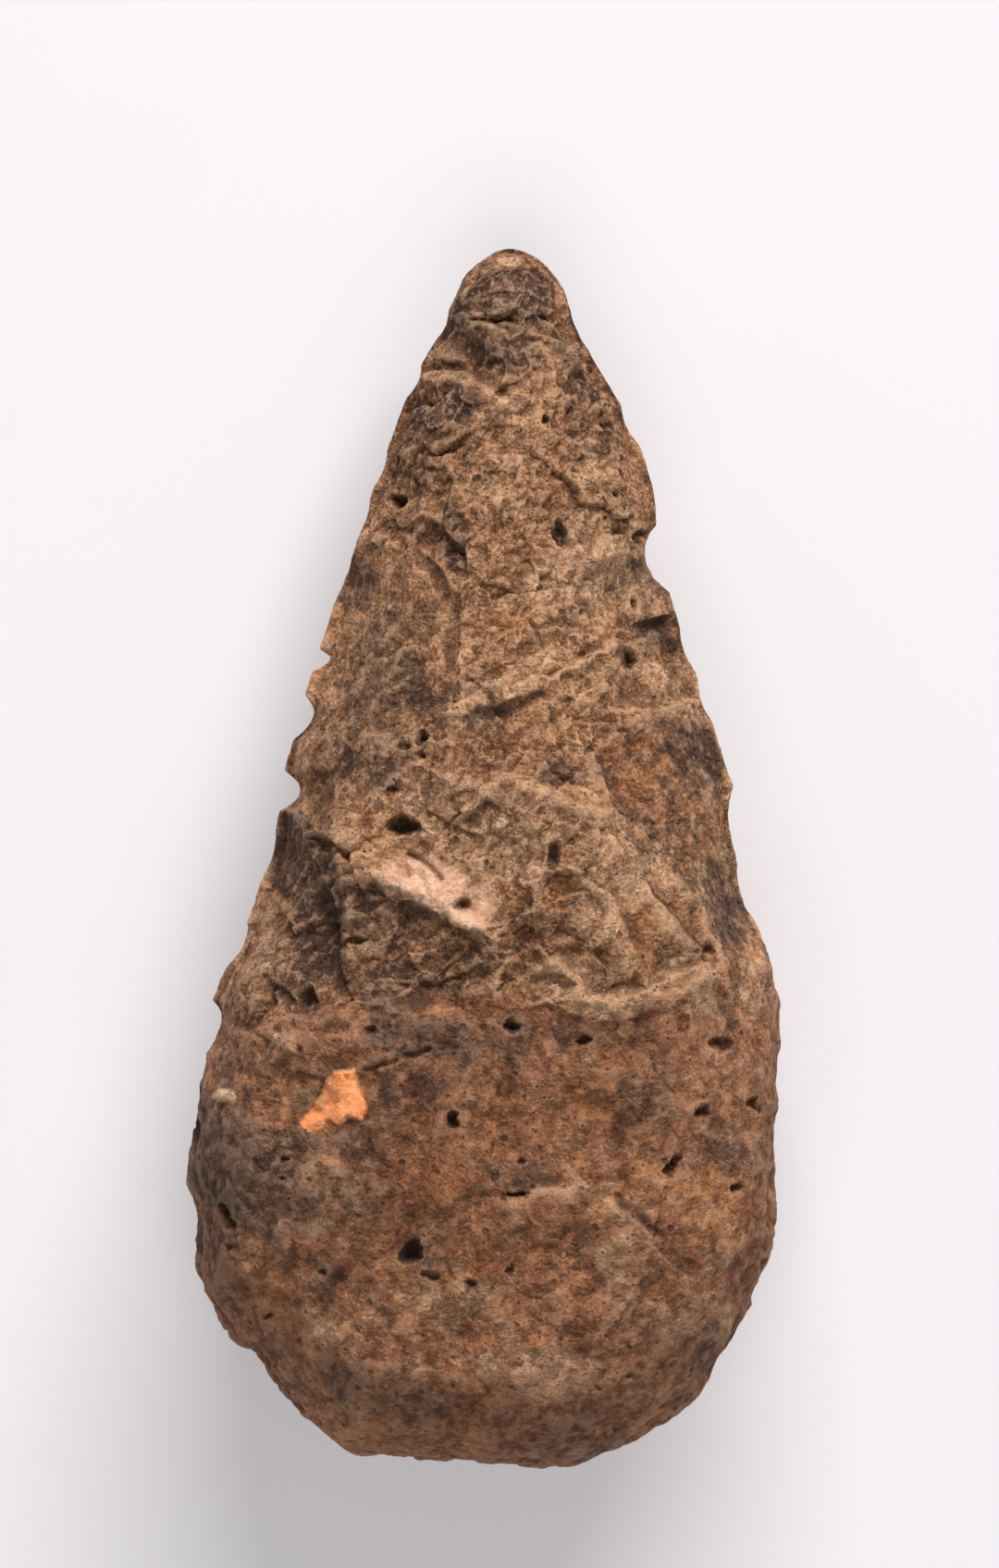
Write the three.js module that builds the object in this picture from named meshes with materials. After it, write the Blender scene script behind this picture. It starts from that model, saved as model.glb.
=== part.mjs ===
// A stone hand axe: a rolled cobble knapped all round to a blunt point, its heavy butt left as cortex.
// Millimetres. It lies on its plainer face: +X across it, +Y towards the tip, +Z up, floor at Z = 0.
//
// The body is two lenses joined along one sharp, slightly wavy edge. Every point of a face is
// named by its place s along the edge and by rho, 0 on the spine and 1 on the edge. Flakes struck
// off a face are shallow bowls taken out of its lens, and the ridges are where bowls meet.
import * as THREE from 'three';
import { ParametricGeometry } from 'three/addons/geometries/ParametricGeometry.js';
import { SimplifyModifier } from 'three/addons/modifiers/SimplifyModifier.js';
import { mergeVertices } from 'three/addons/utils/BufferGeometryUtils.js';

// ---- driving dimensions ----
const LENGTH = 180;
const BREADTH = 87.8;
const THICKNESS = 47.4;

// The spine is a straight line; past its ends the ribs fan out round the butt and round the tip.
const BUTT = { x: -0.5, y: -45, fan: 44 };
const TIP = { x: 3.6, y: 82, fan: 8.4 };

// Height of the edge above the floor at the two ends of the spine.
const EDGE_AT_BUTT = 22.5;
const EDGE_AT_TIP = 16.4;
// The edge rises and falls along its length: height, waves in a whole turn, phase.
const EDGE_WAVES = [[1.1, 11, 0.4], [0.7, 19, 2.0], [0.35, 33, 1.1]];
// Their share that is left at the rolled butt; it grows to the whole at the tip.
const WAVES_AT_BUTT = 0.2;

// A flake never takes more than this share of the lens away.
const LEAST_LEFT = 0.12;
// How strongly an edge chip is kept to the very edge.
const CHIP_FADE = 14;

// Mesh: samples round the edge, samples from spine over the edge to spine, triangles kept.
const AROUND = 432;
const ACROSS = 76;
const TRIANGLES = 8400;

// Outline seen from above, once round: down the right side, round the butt, up the left side.
const OUTLINE = [
  [3.6, 90.0], [8.9, 87.6], [12.6, 82.0], [15.3, 75.5], [20.4, 66.5], [25.0, 54.5], [25.8, 46.0],
  [29.2, 33.5], [33.6, 19.5], [36.6, 10.5], [37.9, -4.5], [42.2, -16.0], [43.8, -26.5], [43.2, -46.0],
  [43.0, -54.0], [40.6, -62.5], [36.9, -71.5], [31.5, -79.5], [24.3, -85.3], [15.0, -89.2],
  [8.0, -90.0], [-0.5, -89.6], [-12.0, -88.6], [-21.4, -87.0], [-25.3, -83.5], [-31.0, -77.3],
  [-38.4, -69.4], [-42.6, -60.5], [-43.2, -52.0], [-43.9, -46.5], [-42.5, -35.0], [-40.0, -21.0],
  [-34.9, -9.5], [-31.6, 0.0], [-29.2, 13.3], [-26.3, 24.3], [-23.8, 32.0], [-19.2, 45.5],
  [-14.5, 60.0], [-9.3, 72.8], [-5.0, 80.8], [-1.0, 87.6],
];

// Small chips out of the edge: x, y, half width, depth.
const CHIPS = [
  [-5.5, 78.3, 2.6, 0.3], [-10.2, 70.2, 2.6, 0.7], [-15.0, 57.5, 3.0, 0.5], [-17.5, 50.0, 3.0, 0.3],
  [-21.0, 41.5, 3.0, 0.3], [-23.6, 28.7, 2.2, 3.4], [-26.8, 20.6, 3.4, 2.1], [-28.8, 9.6, 3.3, 3.5],
  [-31.5, 0.5, 3.0, 0.35], [-36.3, -13.0, 3.5, 1.1], [-40.0, -25.3, 4.0, 2.1], [-42.3, -30.5, 3.0, 0.6],
  [-43.0, -52.5, 4.2, 0.7], [-39.5, -66.5, 3.0, 0.5], [-34.0, -74.0, 3.0, 0.9], [14.0, 78.0, 3.0, 0.3],
  [21.3, 63.5, 3.4, 0.6], [26.2, 44.0, 5.0, 2.4], [30.0, 30.5, 3.5, 0.5], [32.0, 22.5, 3.0, 0.6],
  [36.9, 5.2, 5.0, 1.0], [38.0, -5.5, 4.0, 0.5], [43.6, -32.0, 4.0, 1.1], [43.2, -41.5, 4.0, 0.4],
  [42.8, -49.0, 3.0, 0.4], [40.2, -63.0, 3.0, 0.5], [34.8, -74.5, 3.0, 0.6],
];

// The two lenses at stations along the spine: y, then height, fullness and bluntness of the lens,
// whose height over the edge is height * (1 - rho ** fullness) ** bluntness.
const FACE_LENS = [
  [-90, 22.6, 4.2, 0.56], [-45, 22.6, 4.2, 0.56], [-34, 22.6, 4.2, 0.57], [-20, 24, 3.4, 0.6],
  [-8, 26.5, 2.8, 0.66], [5, 24.5, 2.3, 0.73], [20, 20, 2, 0.8], [40, 15.5, 1.9, 0.85],
  [60, 11.5, 1.9, 0.85], [75, 8.6, 2, 0.8], [91, 7.4, 2.2, 0.6],
];
const BACK_LENS = [
  [-90, 23.2, 2.6, 0.6], [-45, 23.2, 2.6, 0.6], [-22, 22.6, 2.4, 0.65], [0, 20.2, 2.2, 0.72],
  [20, 16, 2, 0.8], [40, 12.5, 1.9, 0.85], [60, 9.5, 1.9, 0.85], [75, 7.2, 2, 0.8], [91, 6.2, 2.2, 0.6],
];

// Flake scars: centre x, y, heading of the blow in degrees, reach along it, spread across it,
// depth, steepness of the far end, steepness of the sides, and how much deeper the far end is.
const FACE_SCARS = {
  tip_cap: [5.5, 88, 75, 9, 10, 1.6, 3, 2, 0],
  tip_band: [2.5, 79.5, 85, 4.5, 9, 0.9, 3, 3, -0.4],
  tip_left: [-6, 75, 20, 7, 6, 1.8, 3, 2, 0],
  tip_right: [15.5, 73, 200, 8, 9, 1.6, 2, 2, 0],
  left_high: [-14, 65, 10, 11, 8, 1.8, 3, 2, 0],
  right_high: [22, 61, 190, 11, 9, 1.6, 2, 2, 0],
  left_nick: [-17, 54, 0, 10, 7, 2, 3, 2, 0],
  right_nose: [27, 50, 195, 9, 7, 1.4, 3, 2, 0],
  left_oval: [-19, 30.5, 2, 15.2, 15.5, 3.2, 7, 2.6, 0.1],
  right_arch: [22.5, 39, 205, 10, 6.5, 2, 3, 2.5, 0],
  right_step: [27.5, 28.8, 183, 9.5, 7, 3.4, 5, 7, 0],
  left_low: [-25, 12.5, 20, 13, 9, 2.2, 3, 2, 0],
  right_long: [29, 7, 205, 12, 15, 3.6, 5, 3, 0.15],
  right_band: [23.5, -8, 214, 7.5, 12, 2.5, 4, 2.5, 0.1],
  right_foot: [39.5, -6, 200, 8, 10, 3.6, 5, 3, 0],
  right_ledge: [27, -13.5, -66, 6.5, 10, 2.8, 5, 2, 0.3],
  left_flank: [-34.5, -8, 20, 12, 19, 6.2, 7, 2.5, 0],
  left_heel: [-39, -27, 10, 12, 8, 1.8, 3, 2, 0],
  chip_hollow: [-26, -33, 15, 11, 8, 1.3, 2.5, 2, 0],
  mid_pale: [-5, 1.5, 66, 9, 14, 3.6, 3, 3, -0.4],
  mid_slope: [-12, -13.5, 249, 9, 14, 3.4, 3, 2.4, -0.3],
  mid_notch: [15, -9.5, 55, 6, 8, 2.4, 3, 2.2, 0.2],
  mid_right: [10, -14.5, -78, 7, 9, 2.6, 4, 2, 0.3],
  upper_left: [-4, 52, 55, 17, 9, 1.2, 2, 2, 0],
  upper_right: [11, 57, 100, 16, 9, 1.2, 2, 2, 0],
  upper_mid: [8, 34, 72, 11, 13, 1.5, 4, 2, 0.2],
  mid_high: [7, 17, 78, 8.5, 13, 1.9, 3, 2, 0.2],
  low_right: [35, -60, 110, 19, 10, 0.9, 4, 2.5, 0],
  low_left: [-44, -50, 96, 19, 6, 1.3, 3, 2.5, 0],
  low_plate: [12, -62, 60, 10, 12, 0.6, 3, 2, 0],
};
const BACK_SCARS = {
  tip_cap: [3, 85, 90, 9, 9, 1.4, 3, 2, 0],
  tip_left: [-6, 74, 10, 9, 8, 1.6, 3, 2, 0],
  tip_right: [14, 72, 190, 8, 7, 1.6, 3, 2, 0],
  left_high: [-13, 60, 15, 13, 8.5, 1.9, 3, 2, 0],
  right_high: [23, 57, 185, 13, 9, 2, 4, 2, 0],
  left_nick: [-18, 45, 5, 14, 9, 2.2, 4, 2, 0],
  right_nose: [26, 41, 200, 13, 9, 2.1, 3, 2, 0],
  left_mid: [-23, 28, 15, 16, 10, 2.6, 5, 2.5, 0],
  right_mid: [30, 24, 185, 16, 10, 2.7, 4, 2.5, 0],
  left_broad: [-28, 9, 0, 16, 10.5, 3, 5, 2.5, 0],
  right_broad: [34, 5, 205, 15, 10.5, 2.8, 4, 2.5, 0],
  left_flank: [-36, -11, 20, 14, 10, 2.8, 4, 2, 0],
  right_flank: [40, -15, 190, 13, 9.5, 2.6, 5, 2, 0],
  left_heel: [-41, -32, 5, 11, 9, 2, 3, 2, 0],
  butt_spall: [29, -60, 130, 14, 11, 1.8, 4, 2, 0],
  upper_mid: [3, 66, 95, 13, 9, 1.1, 2, 2, 0],
  mid: [4, 46, 80, 14, 10, 1.5, 3, 2, 0],
  low_mid: [-1, 26, 100, 14, 12, 1.8, 3, 2, 0],
};

// ---- tables and curves ----

// The slope of a smooth curve through points [t, v], at each point.
function slopes(points) {
  const rise = (a, b) => (points[b][1] - points[a][1]) / (points[b][0] - points[a][0]);
  return points.map((_, i) => {
    if (i === 0) return rise(0, 1);
    if (i === points.length - 1) return rise(i - 1, i);
    const before = points[i][0] - points[i - 1][0];
    const after = points[i + 1][0] - points[i][0];
    return (after * rise(i - 1, i) + before * rise(i, i + 1)) / (before + after);
  });
}

// A function of t that runs smoothly through points [t, v] and stays level outside them.
function smoothCurve(points) {
  const slope = slopes(points);
  return (t) => {
    const last = points.length - 1;
    const at = THREE.MathUtils.clamp(t, points[0][0], points[last][0]);
    let i = 0;
    while (i < last - 1 && at > points[i + 1][0]) i += 1;
    const step = points[i + 1][0] - points[i][0];
    const u = (at - points[i][0]) / step;
    const u2 = u * u;
    const u3 = u2 * u;
    return (2 * u3 - 3 * u2 + 1) * points[i][1] + (u3 - 2 * u2 + u) * step * slope[i]
      + (3 * u2 - 2 * u3) * points[i + 1][1] + (u3 - u2) * step * slope[i + 1];
  };
}

// A face of the stone: its lens as curves along the spine, and the scars that break it.
function face(lens, scars) {
  const curves = [1, 2, 3].map((column) => smoothCurve(lens.map((row) => [row[0], row[column]])));
  return { curves, scars: Object.values(scars) };
}
const FACE = face(FACE_LENS, FACE_SCARS);
const BACK = face(BACK_LENS, BACK_SCARS);

// ---- ribs: s runs round the edge from the tip, down the right side and up the left ----

const RIB_BOTTOM = BUTT.y - BUTT.fan * Math.PI / 2;
const RIB_TOP = TIP.y + TIP.fan * Math.PI / 2;
const HALF_TURN = RIB_TOP - RIB_BOTTOM;
const TURN = 2 * HALF_TURN;

function spineX(y) {
  return THREE.MathUtils.mapLinear(y, BUTT.y, TIP.y, BUTT.x, TIP.x);
}

// The spine point and the direction of the rib at s.
function ribAt(s) {
  const right = s <= HALF_TURN;
  const t = right ? RIB_TOP - s : RIB_BOTTOM + (s - HALF_TURN);
  const y = THREE.MathUtils.clamp(t, BUTT.y, TIP.y);
  let turn = 0;
  if (t < BUTT.y) turn = (t - BUTT.y) / BUTT.fan;
  if (t > TIP.y) turn = (t - TIP.y) / TIP.fan;
  return { x: spineX(y), y, dx: (right ? 1 : -1) * Math.cos(turn), dy: Math.sin(turn) };
}

// The rib through an outline point, and how far out on it the point is.
function ribThrough([x, y]) {
  const spineY = THREE.MathUtils.clamp(y, BUTT.y, TIP.y);
  const dx = x - spineX(spineY);
  const dy = y - spineY;
  const turn = Math.atan2(Math.abs(dy), Math.abs(dx));
  let t = spineY;
  if (dy < 0) t = BUTT.y - BUTT.fan * turn;
  if (dy > 0) t = TIP.y + TIP.fan * turn;
  const s = dx >= 0 ? RIB_TOP - t : HALF_TURN + (t - RIB_BOTTOM);
  return [s, Math.hypot(dx, dy)];
}

const knots = OUTLINE.map(ribThrough).sort((a, b) => a[0] - b[0]);
const wholeReach = smoothCurve([
  ...knots.slice(-3).map(([s, reach]) => [s - TURN, reach]),
  ...knots,
  ...knots.slice(0, 3).map(([s, reach]) => [s + TURN, reach]),
]);

// The share of the unchipped reach that is left at s.
function chippedShare(s, rib) {
  const reach = wholeReach(s);
  const x = rib.x + reach * rib.dx;
  const y = rib.y + reach * rib.dy;
  let lost = 0;
  for (const [chipX, chipY, half, depth] of CHIPS) {
    lost += depth * Math.max(0, 1 - ((x - chipX) ** 2 + (y - chipY) ** 2) / half ** 2);
  }
  return 1 - lost / reach;
}

// ---- heights ----

// Bends the scars' outlines so that none is a clean oval.
function bend(x, y) {
  return [
    x + 0.5 * Math.sin(0.31 * y + 0.4) + 0.35 * Math.sin(0.23 * x + 0.57 * y + 2.1),
    y + 0.5 * Math.sin(0.29 * x + 1.7) + 0.35 * Math.sin(0.51 * x - 0.27 * y + 0.3),
  ];
}

// The depth of the deepest scar at a point: depth * (1 - |along| ** end - |across| ** side).
function scarDepth(scars, x, y) {
  const [bentX, bentY] = bend(x, y);
  let deepest = 0;
  for (const [cx, cy, heading, reach, spread, depth, end, side, lean] of scars) {
    const turn = THREE.MathUtils.degToRad(heading);
    const along = ((bentX - cx) * Math.cos(turn) + (bentY - cy) * Math.sin(turn)) / reach;
    const across = ((bentY - cy) * Math.cos(turn) - (bentX - cx) * Math.sin(turn)) / spread;
    const bowl = Math.max(0, 1 - Math.abs(along) ** end - Math.abs(across) ** side);
    deepest = Math.max(deepest, depth * bowl * (1 + lean * along));
  }
  return deepest;
}

// Height of a face over the edge's own level.
function faceHeight({ curves, scars }, x, y, rho) {
  const spineY = THREE.MathUtils.clamp(y, BUTT.y, TIP.y);
  const [height, full, blunt] = curves.map((curve) => curve(spineY));
  const lens = height * Math.max(0, 1 - rho ** full) ** blunt;
  return Math.max(lens - scarDepth(scars, x, y), LEAST_LEFT * lens);
}

// Height of the edge's level above the floor; its waves fade towards the spine.
function edgeHeight(s, y, rho) {
  const spineY = THREE.MathUtils.clamp(y, BUTT.y, TIP.y);
  const share = THREE.MathUtils.inverseLerp(BUTT.y, TIP.y, spineY);
  let height = THREE.MathUtils.lerp(EDGE_AT_BUTT, EDGE_AT_TIP, share);
  const swell = THREE.MathUtils.lerp(WAVES_AT_BUTT, 1, share) * rho ** 3;
  for (const [rise, waves, phase] of EDGE_WAVES) {
    height += rise * swell * Math.sin(2 * Math.PI * waves * s / TURN + phase);
  }
  return height;
}

// ---- the stone: u once round the edge; v from the spine of the face, over the edge, to the back ----

// Rings crowd towards the edge, where the lenses turn fastest.
function ringAt(v) {
  const w = 1 - Math.abs(1 - 2 * v);
  return Math.sin(w * Math.PI / 2) ** 1.1;
}

function stonePoint(u, v, target) {
  const s = (u % 1) * TURN;
  const rib = ribAt(s);
  const rho = ringAt(v);
  const share = chippedShare(s, rib);
  const reach = wholeReach(s) * rho * (1 - (1 - share) * rho ** CHIP_FADE);
  const x = rib.x + reach * rib.dx;
  const y = rib.y + reach * rib.dy;
  const edge = edgeHeight(s, y, rho);
  const onFace = v <= 0.5;
  const z = onFace
    ? edge + faceHeight(FACE, x, y, rho)
    : Math.max(0, edge - faceHeight(BACK, x, y, rho));
  target.set(x, y, z);
}

// Leaves out the triangles that collapse where a fan of ribs shares one spine point.
function withoutSlivers(geometry) {
  const index = geometry.getIndex().array;
  const kept = [];
  for (let i = 0; i < index.length; i += 3) {
    const [a, b, c] = [index[i], index[i + 1], index[i + 2]];
    if (a !== b && b !== c && c !== a) kept.push(a, b, c);
  }
  geometry.setIndex(kept);
  return geometry;
}

// Stands the geometry on the floor, centred on the origin, at the driving dimensions.
function fitToSize(geometry) {
  geometry.computeBoundingBox();
  const size = geometry.boundingBox.getSize(new THREE.Vector3());
  geometry.scale(BREADTH / size.x, LENGTH / size.y, THICKNESS / size.z);
  geometry.computeBoundingBox();
  const centre = geometry.boundingBox.getCenter(new THREE.Vector3());
  geometry.translate(-centre.x, -centre.y, -geometry.boundingBox.min.z);
  geometry.computeVertexNormals();
  return geometry;
}

async function stoneGeometry() {
  const sheet = new ParametricGeometry(stonePoint, AROUND, ACROSS);
  sheet.deleteAttribute('normal');
  sheet.deleteAttribute('uv');
  const skin = withoutSlivers(mergeVertices(sheet, 1e-4));
  const spare = skin.getAttribute('position').count - TRIANGLES / 2;
  return fitToSize(await new SimplifyModifier().modify(skin, spare));
}

const stone = new THREE.MeshStandardMaterial({ color: 0x805944, roughness: 0.85, metalness: 0 });
const axe = new THREE.Mesh(await stoneGeometry(), stone);
axe.name = 'hand_axe';

const model = new THREE.Group();
model.add(axe);

export default model;
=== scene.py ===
"""Looks of a stone hand axe that lies on its plainer face, tip towards +Y, knapped face up.

The stone is one piece: a skin worked out with numpy from the same named sizes as the solid, with
the broken grain, pits, cracks and inlays that are too fine for the solid. Tables are in
millimetres in the solid's own frame; the skin is fitted to the solid's box in metres.
"""
import itertools
import math

import bmesh
import bpy
import numpy as np
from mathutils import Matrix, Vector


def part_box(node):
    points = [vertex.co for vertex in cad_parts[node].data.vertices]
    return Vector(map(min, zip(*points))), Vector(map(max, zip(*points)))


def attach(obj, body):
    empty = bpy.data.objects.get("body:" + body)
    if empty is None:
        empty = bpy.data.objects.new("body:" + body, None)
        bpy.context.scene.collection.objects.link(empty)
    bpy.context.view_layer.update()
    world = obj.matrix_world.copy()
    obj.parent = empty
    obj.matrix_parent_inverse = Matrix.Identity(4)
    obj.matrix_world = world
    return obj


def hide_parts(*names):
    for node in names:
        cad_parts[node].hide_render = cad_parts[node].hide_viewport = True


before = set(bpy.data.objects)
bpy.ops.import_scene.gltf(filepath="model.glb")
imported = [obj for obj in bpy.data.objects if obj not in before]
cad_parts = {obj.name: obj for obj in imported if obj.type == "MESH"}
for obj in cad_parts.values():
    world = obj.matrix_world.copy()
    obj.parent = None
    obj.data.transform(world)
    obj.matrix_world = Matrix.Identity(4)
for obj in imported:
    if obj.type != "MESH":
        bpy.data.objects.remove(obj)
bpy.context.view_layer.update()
NODE = "hand_axe"
MM = 0.001

# ---- the stone's form

BUTT_X, BUTT_Y, BUTT_FAN = -0.5, -45.0, 44.0
TIP_X, TIP_Y, TIP_FAN = 3.6, 82.0, 8.4
EDGE_AT_BUTT, EDGE_AT_TIP = 22.5, 16.4
EDGE_WAVES = [(1.1, 11, 0.4), (0.7, 19, 2.0), (0.35, 33, 1.1)]
WAVES_AT_BUTT = 0.2
LEAST_LEFT = 0.12
CHIP_FADE = 14

OUTLINE = [
    (3.6, 90.0), (8.9, 87.6), (12.6, 82.0), (15.3, 75.5), (20.4, 66.5), (25.0, 54.5), (25.8, 46.0),
    (29.2, 33.5), (33.6, 19.5), (36.6, 10.5), (37.9, -4.5), (42.2, -16.0), (43.8, -26.5), (43.2, -46.0),
    (43.0, -54.0), (40.6, -62.5), (36.9, -71.5), (31.5, -79.5), (24.3, -85.3), (15.0, -89.2),
    (8.0, -90.0), (-0.5, -89.6), (-12.0, -88.6), (-21.4, -87.0), (-25.3, -83.5), (-31.0, -77.3),
    (-38.4, -69.4), (-42.6, -60.5), (-43.2, -52.0), (-43.9, -46.5), (-42.5, -35.0), (-40.0, -21.0),
    (-34.9, -9.5), (-31.6, 0.0), (-29.2, 13.3), (-26.3, 24.3), (-23.8, 32.0), (-19.2, 45.5),
    (-14.5, 60.0), (-9.3, 72.8), (-5.0, 80.8), (-1.0, 87.6),
]
# x, y, half width, depth
CHIPS = [
    (-5.5, 78.3, 2.6, 0.3), (-10.2, 70.2, 2.6, 0.7), (-15.0, 57.5, 3.0, 0.5), (-17.5, 50.0, 3.0, 0.3),
    (-21.0, 41.5, 3.0, 0.3), (-23.6, 28.7, 2.2, 3.4), (-26.8, 20.6, 3.4, 2.1), (-28.8, 9.6, 3.3, 3.5),
    (-31.5, 0.5, 3.0, 0.35), (-36.3, -13.0, 3.5, 1.1), (-40.0, -25.3, 4.0, 2.1), (-42.3, -30.5, 3.0, 0.6),
    (-43.0, -52.5, 4.2, 0.7), (-39.5, -66.5, 3.0, 0.5), (-34.0, -74.0, 3.0, 0.9), (14.0, 78.0, 3.0, 0.3),
    (21.3, 63.5, 3.4, 0.6), (26.2, 44.0, 5.0, 2.4), (30.0, 30.5, 3.5, 0.5), (32.0, 22.5, 3.0, 0.6),
    (36.9, 5.2, 5.0, 1.0), (38.0, -5.5, 4.0, 0.5), (43.6, -32.0, 4.0, 1.1), (43.2, -41.5, 4.0, 0.4),
    (42.8, -49.0, 3.0, 0.4), (40.2, -63.0, 3.0, 0.5), (34.8, -74.5, 3.0, 0.6),
]
# y, then height, fullness and bluntness of the lens
FACE_LENS = [
    (-90, 22.6, 4.2, 0.56), (-45, 22.6, 4.2, 0.56), (-34, 22.6, 4.2, 0.57), (-20, 24.0, 3.4, 0.60),
    (-8, 26.5, 2.8, 0.66), (5, 24.5, 2.3, 0.73), (20, 20.0, 2.0, 0.80), (40, 15.5, 1.9, 0.85),
    (60, 11.5, 1.9, 0.85), (75, 8.6, 2.0, 0.80), (91, 7.4, 2.2, 0.60),
]
BACK_LENS = [
    (-90, 23.2, 2.6, 0.60), (-45, 23.2, 2.6, 0.60), (-22, 22.6, 2.4, 0.65), (0, 20.2, 2.2, 0.72),
    (20, 16.0, 2.0, 0.80), (40, 12.5, 1.9, 0.85), (60, 9.5, 1.9, 0.85), (75, 7.2, 2.0, 0.80),
    (91, 6.2, 2.2, 0.60),
]
# centre x, y, heading, reach, spread, depth, steepness of the end and of the sides, lean
FACE_SCARS = {
    "tip_cap": (5.5, 88, 75, 9, 10, 1.6, 3, 2, 0),
    "tip_band": (2.5, 79.5, 85, 4.5, 9, 0.9, 3, 3, -0.4),
    "tip_left": (-6, 75, 20, 7, 6, 1.8, 3, 2, 0),
    "tip_right": (15.5, 73, 200, 8, 9, 1.6, 2, 2, 0),
    "left_high": (-14, 65, 10, 11, 8, 1.8, 3, 2, 0),
    "right_high": (22, 61, 190, 11, 9, 1.6, 2, 2, 0),
    "left_nick": (-17, 54, 0, 10, 7, 2.0, 3, 2, 0),
    "right_nose": (27, 50, 195, 9, 7, 1.4, 3, 2, 0),
    "left_oval": (-19, 30.5, 2, 15.2, 15.5, 3.2, 7, 2.6, 0.1),
    "right_arch": (22.5, 39, 205, 10, 6.5, 2.0, 3, 2.5, 0),
    "right_step": (27.5, 28.8, 183, 9.5, 7, 3.4, 5, 7, 0),
    "left_low": (-25, 12.5, 20, 13, 9, 2.2, 3, 2, 0),
    "right_long": (29, 7, 205, 12, 15, 3.6, 5, 3, 0.15),
    "right_band": (23.5, -8, 214, 7.5, 12, 2.5, 4, 2.5, 0.1),
    "right_foot": (39.5, -6, 200, 8, 10, 3.6, 5, 3, 0),
    "right_ledge": (27, -13.5, -66, 6.5, 10, 2.8, 5, 2, 0.3),
    "left_flank": (-34.5, -8, 20, 12, 19, 6.2, 7, 2.5, 0),
    "left_heel": (-39, -27, 10, 12, 8, 1.8, 3, 2, 0),
    "chip_hollow": (-26, -33, 15, 11, 8, 1.3, 2.5, 2, 0),
    "mid_pale": (-5, 1.5, 66, 9, 14, 3.6, 3, 3, -0.4),
    "mid_slope": (-12, -13.5, 249, 9, 14, 3.4, 3, 2.4, -0.3),
    "mid_notch": (15, -9.5, 55, 6, 8, 2.4, 3, 2.2, 0.2),
    "mid_right": (10, -14.5, -78, 7, 9, 2.6, 4, 2, 0.3),
    "upper_left": (-4, 52, 55, 17, 9, 1.2, 2, 2, 0),
    "upper_right": (11, 57, 100, 16, 9, 1.2, 2, 2, 0),
    "upper_mid": (8, 34, 72, 11, 13, 1.5, 4, 2, 0.2),
    "mid_high": (7, 17, 78, 8.5, 13, 1.9, 3, 2, 0.2),
    "low_right": (35, -60, 110, 19, 10, 0.9, 4, 2.5, 0),
    "low_left": (-44, -50, 96, 19, 6, 1.3, 3, 2.5, 0),
    "low_plate": (12, -62, 60, 10, 12, 0.6, 3, 2, 0),
}
BACK_SCARS = {
    "tip_cap": (3, 85, 90, 9, 9, 1.4, 3, 2, 0),
    "tip_left": (-6, 74, 10, 9, 8, 1.6, 3, 2, 0),
    "tip_right": (14, 72, 190, 8, 7, 1.6, 3, 2, 0),
    "left_high": (-13, 60, 15, 13, 8.5, 1.9, 3, 2, 0),
    "right_high": (23, 57, 185, 13, 9, 2.0, 4, 2, 0),
    "left_nick": (-18, 45, 5, 14, 9, 2.2, 4, 2, 0),
    "right_nose": (26, 41, 200, 13, 9, 2.1, 3, 2, 0),
    "left_mid": (-23, 28, 15, 16, 10, 2.6, 5, 2.5, 0),
    "right_mid": (30, 24, 185, 16, 10, 2.7, 4, 2.5, 0),
    "left_broad": (-28, 9, 0, 16, 10.5, 3.0, 5, 2.5, 0),
    "right_broad": (34, 5, 205, 15, 10.5, 2.8, 4, 2.5, 0),
    "left_flank": (-36, -11, 20, 14, 10, 2.8, 4, 2, 0),
    "right_flank": (40, -15, 190, 13, 9.5, 2.6, 5, 2, 0),
    "left_heel": (-41, -32, 5, 11, 9, 2.0, 3, 2, 0),
    "butt_spall": (29, -60, 130, 14, 11, 1.8, 4, 2, 0),
    "upper_mid": (3, 66, 95, 13, 9, 1.1, 2, 2, 0),
    "mid": (4, 46, 80, 14, 10, 1.5, 3, 2, 0),
    "low_mid": (-1, 26, 100, 14, 12, 1.8, 3, 2, 0),
}


def smooth_curve(points, at):
    """A cubic through points (t, v): its slope at a point is the mean of the slopes on both sides,
    each weighted by the other side's length; level outside the ends."""
    t, v = np.asarray(points, float).T
    slope = np.gradient(v, t)
    at = np.clip(at, t[0], t[-1])
    i = np.clip(np.searchsorted(t, at, side="right") - 1, 0, len(t) - 2)
    step = t[i + 1] - t[i]
    u = (at - t[i]) / step
    return ((2 * u**3 - 3 * u**2 + 1) * v[i] + (u**3 - 2 * u**2 + u) * step * slope[i]
            + (3 * u**2 - 2 * u**3) * v[i + 1] + (u**3 - u**2) * step * slope[i + 1])


RIB_BOTTOM = BUTT_Y - BUTT_FAN * math.pi / 2
RIB_TOP = TIP_Y + TIP_FAN * math.pi / 2
HALF_TURN = RIB_TOP - RIB_BOTTOM
TURN = 2 * HALF_TURN


def spine_x(y):
    """The spine is straight from the middle of the butt to the middle of the tip."""
    return BUTT_X + (TIP_X - BUTT_X) * (y - BUTT_Y) / (TIP_Y - BUTT_Y)


def ribs(s):
    """Spine point and outward direction of the rib at s, which runs down the right side and up the
    left. Ribs lie straight across between butt and tip, and fan round both ends."""
    right = s <= HALF_TURN
    t = np.where(right, RIB_TOP - s, RIB_BOTTOM + (s - HALF_TURN))
    y = np.clip(t, BUTT_Y, TIP_Y)
    turn = np.where(t < BUTT_Y, (t - BUTT_Y) / BUTT_FAN, np.where(t > TIP_Y, (t - TIP_Y) / TIP_FAN, 0.0))
    return spine_x(y), y, np.where(right, 1, -1) * np.cos(turn), np.sin(turn)


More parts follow.
